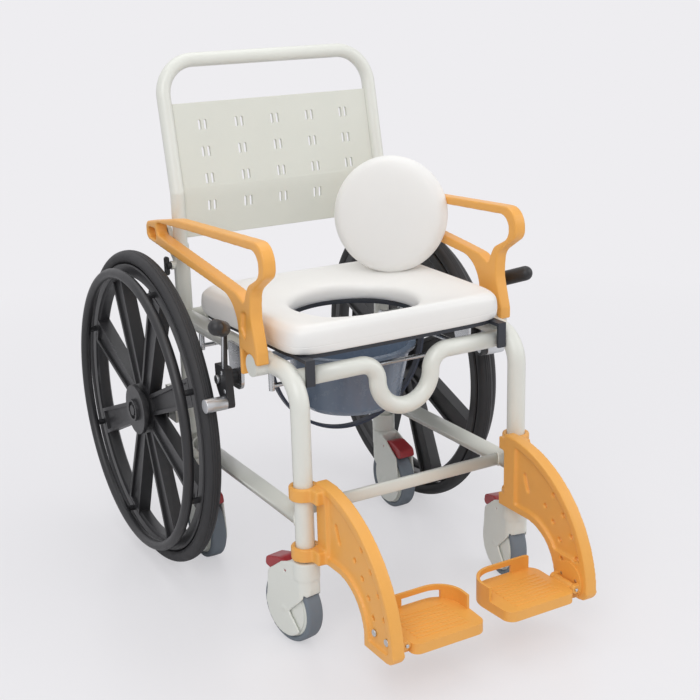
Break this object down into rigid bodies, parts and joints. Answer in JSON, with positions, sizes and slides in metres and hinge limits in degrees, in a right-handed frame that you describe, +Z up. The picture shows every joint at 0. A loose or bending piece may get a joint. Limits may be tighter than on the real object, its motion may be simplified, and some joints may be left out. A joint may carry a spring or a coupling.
{
  "type": "commode chair",
  "caption": "Self-propelled shower commode wheelchair: tube frame, large drive wheels, swivel castors, flip-up armrests, swing-away footrests, open seat with bucket and lid cushion.",
  "frame": {"origin": "floor level, in the middle of the chair's length and width", "axes": "+Z up, -Y towards the front of the chair (where the feet rest), +X towards the sitter's left; left and right in node names are as seen from the front"},
  "size_m": [0.663, 1.0247, 0.9502],
  "materials": {
    "frame_paint": "semi-gloss powder coat",
    "panel": "smooth moulded",
    "steel": "satin",
    "shoe": "turned",
    "orange": "satin moulded",
    "castor_shell": "smooth moulded",
    "castor_tread": "matte",
    "pedal": "moulded",
    "tyre": "matte",
    "wheel_moulding": "fine grain",
    "black_fitting": "moulded",
    "cushion": "smooth foam skin",
    "base_board": "smooth",
    "bucket": "semi-gloss",
    "bail": "smooth"
  },
  "bodies": {
    "frame": {"front_leg_left": "frame_paint", "front_leg_right": "frame_paint", "seat_rail_left": "frame_paint", "seat_rail_right": "frame_paint", "rear_post_left": "frame_paint", "rear_post_right": "frame_paint", "front_cross_tube": "frame_paint", "rear_cross_tube": "frame_paint", "lower_rails": "frame_paint", "lower_cross_tube": "frame_paint", "axle_brackets": "frame_paint", "wheel_axles": "steel", "bucket_runners": "steel", "brake_brackets": "steel", "arm_pivot_bolts": "steel"},
    "backrest": {"back_tube": "frame_paint", "back_panel": "panel"},
    "seat": {"seat_pad": "cushion", "seat_base": "base_board"},
    "lid": {"lid_cushion": "cushion"},
    "bucket": {"bucket": "bucket"},
    "bucket_bail": {"bucket_handle": "bail"},
    "wheel_left": {"wheel_tyre_left": "tyre", "mag_wheel_left": "wheel_moulding", "handrim_left": "wheel_moulding"},
    "arm_left": {"armrest_left": "orange"},
    "foot_left": {"footrest_left": "orange", "footplate_hinge_left": "orange", "footrest_bolts_left": "steel"},
    "plate_left": {"footplate_left": "orange"},
    "brake_left": {"brake_lever_left": "black_fitting", "brake_shoe_left": "shoe"},
    "screw_left": {"wing_screw_left": "black_fitting"},
    "front_castor_left_fork": {"front_castor_fork_left": "castor_shell"},
    "front_castor_left_wheel": {"front_castor_hub_left": "castor_shell", "front_castor_tyre_left": "castor_tread"},
    "front_castor_left_pedal": {"front_castor_pedal_left": "pedal"},
    "rear_castor_left_fork": {"rear_castor_fork_left": "castor_shell"},
    "rear_castor_left_wheel": {"rear_castor_hub_left": "castor_shell", "rear_castor_tyre_left": "castor_tread"},
    "rear_castor_left_pedal": {"rear_castor_pedal_left": "pedal"},
    "wheel_right": {"wheel_tyre_right": "tyre", "mag_wheel_right": "wheel_moulding", "handrim_right": "wheel_moulding"},
    "arm_right": {"armrest_right": "orange"},
    "foot_right": {"footrest_right": "orange", "footplate_hinge_right": "orange", "footrest_bolts_right": "steel"},
    "plate_right": {"footplate_right": "orange"},
    "brake_right": {"brake_lever_right": "black_fitting", "brake_shoe_right": "shoe"},
    "screw_right": {"wing_screw_right": "black_fitting"},
    "front_castor_right_fork": {"front_castor_fork_right": "castor_shell"},
    "front_castor_right_wheel": {"front_castor_hub_right": "castor_shell", "front_castor_tyre_right": "castor_tread"},
    "front_castor_right_pedal": {"front_castor_pedal_right": "pedal"},
    "rear_castor_right_fork": {"rear_castor_fork_right": "castor_shell"},
    "rear_castor_right_wheel": {"rear_castor_hub_right": "castor_shell", "rear_castor_tyre_right": "castor_tread"},
    "rear_castor_right_pedal": {"rear_castor_pedal_right": "pedal"}
  },
  "joints": [
    {"name": "backrest_lift", "type": "slide", "parent": "frame", "child": "backrest", "axis": [0, 0, 1], "range_m": [0, 0.08]},
    {"name": "seat_lift", "type": "slide", "parent": "frame", "child": "seat", "axis": [0, 0, 1], "range_m": [0, 0.15]},
    {"name": "lid_lift", "type": "slide", "parent": "seat", "child": "lid", "axis": [0, 0, 1], "range_m": [0, 0.1]},
    {"name": "bucket_slide", "type": "slide", "parent": "frame", "child": "bucket", "axis": [0, 1, 0], "range_m": [0, 0.3]},
    {"name": "bucket_bail_swing", "type": "hinge", "parent": "bucket", "child": "bucket_bail", "pos_m": [0, -0.0515, 0.4343], "axis": [1, 0, 0], "range_deg": [-70, 70]},
    {"name": "wheel_spin_left", "type": "hinge", "parent": "frame", "child": "wheel_left", "pos_m": [-0.288, 0.2125, 0.3], "axis": [1, 0, 0], "continuous": true},
    {"name": "armrest_flip_left", "type": "hinge", "parent": "frame", "child": "arm_left", "pos_m": [-0.24, 0.2185, 0.629], "axis": [-1, 0, 0], "range_deg": [0, 95]},
    {"name": "footrest_swing_left", "type": "hinge", "parent": "frame", "child": "foot_left", "pos_m": [-0.215, -0.2675, 0.23], "axis": [0, 0, -1], "range_deg": [0, 90]},
    {"name": "footplate_flip_left", "type": "hinge", "parent": "foot_left", "child": "plate_left", "pos_m": [-0.1664, -0.4685, 0.096], "axis": [0, -1, 0], "range_deg": [0, 70]},
    {"name": "brake_left_swing", "type": "hinge", "parent": "frame", "child": "brake_left", "pos_m": [-0.26, -0.07626, 0.43031], "axis": [1, 0, 0], "range_deg": [0, 18]},
    {"name": "wing_screw_turn_left", "type": "hinge", "parent": "frame", "child": "screw_left", "pos_m": [-0.24, 0.1845, 0.574], "axis": [1, 0, 0], "continuous": true},
    {"name": "front_castor_left_swivel", "type": "hinge", "parent": "frame", "child": "front_castor_left_fork", "pos_m": [-0.215, -0.2675, 0.15], "axis": [0, 0, 1], "continuous": true},
    {"name": "front_castor_left_spin", "type": "hinge", "parent": "front_castor_left_fork", "child": "front_castor_left_wheel", "pos_m": [-0.2216, -0.23008, 0.0625], "axis": [0.9848, 0.1736, 0], "continuous": true},
    {"name": "front_castor_left_pedal_tip", "type": "hinge", "parent": "front_castor_left_fork", "child": "front_castor_left_pedal", "pos_m": [-0.22056, -0.23599, 0.134], "axis": [0.9848, 0.1736, 0], "range_deg": [0, 12]},
    {"name": "rear_castor_left_swivel", "type": "hinge", "parent": "frame", "child": "rear_castor_left_fork", "pos_m": [-0.215, 0.1845, 0.15], "axis": [0, 0, 1], "range_deg": [-15, 195]},
    {"name": "rear_castor_left_spin", "type": "hinge", "parent": "rear_castor_left_fork", "child": "rear_castor_left_wheel", "pos_m": [-0.215, 0.1465, 0.0625], "axis": [1, 0, 0], "continuous": true},
    {"name": "rear_castor_left_pedal_tip", "type": "hinge", "parent": "rear_castor_left_fork", "child": "rear_castor_left_pedal", "pos_m": [-0.215, 0.1525, 0.134], "axis": [-1, 0, 0], "range_deg": [0, 12]},
    {"name": "wheel_spin_right", "type": "hinge", "parent": "frame", "child": "wheel_right", "pos_m": [0.288, 0.2125, 0.3], "axis": [1, 0, 0], "continuous": true},
    {"name": "armrest_flip_right", "type": "hinge", "parent": "frame", "child": "arm_right", "pos_m": [0.24, 0.2185, 0.629], "axis": [-1, 0, 0], "range_deg": [0, 95]},
    {"name": "footrest_swing_right", "type": "hinge", "parent": "frame", "child": "foot_right", "pos_m": [0.215, -0.2675, 0.23], "axis": [0, 0, 1], "range_deg": [0, 90]},
    {"name": "footplate_flip_right", "type": "hinge", "parent": "foot_right", "child": "plate_right", "pos_m": [0.1664, -0.4685, 0.096], "axis": [0, 1, 0], "range_deg": [0, 70]},
    {"name": "brake_right_swing", "type": "hinge", "parent": "frame", "child": "brake_right", "pos_m": [0.26, -0.07626, 0.43031], "axis": [1, 0, 0], "range_deg": [0, 18]},
    {"name": "wing_screw_turn_right", "type": "hinge", "parent": "frame", "child": "screw_right", "pos_m": [0.24, 0.1845, 0.574], "axis": [1, 0, 0], "continuous": true},
    {"name": "front_castor_right_swivel", "type": "hinge", "parent": "frame", "child": "front_castor_right_fork", "pos_m": [0.215, -0.2675, 0.15], "axis": [0, 0, 1], "continuous": true},
    {"name": "front_castor_right_spin", "type": "hinge", "parent": "front_castor_right_fork", "child": "front_castor_right_wheel", "pos_m": [0.2216, -0.23008, 0.0625], "axis": [0.9848, -0.1736, 0], "continuous": true},
    {"name": "front_castor_right_pedal_tip", "type": "hinge", "parent": "front_castor_right_fork", "child": "front_castor_right_pedal", "pos_m": [0.22056, -0.23599, 0.134], "axis": [0.9848, -0.1736, 0], "range_deg": [0, 12]},
    {"name": "rear_castor_right_swivel", "type": "hinge", "parent": "frame", "child": "rear_castor_right_fork", "pos_m": [0.215, 0.1845, 0.15], "axis": [0, 0, -1], "range_deg": [-15, 195]},
    {"name": "rear_castor_right_spin", "type": "hinge", "parent": "rear_castor_right_fork", "child": "rear_castor_right_wheel", "pos_m": [0.215, 0.1465, 0.0625], "axis": [1, 0, 0], "continuous": true},
    {"name": "rear_castor_right_pedal_tip", "type": "hinge", "parent": "rear_castor_right_fork", "child": "rear_castor_right_pedal", "pos_m": [0.215, 0.1525, 0.134], "axis": [-1, 0, 0], "range_deg": [0, 12]}
  ]
}
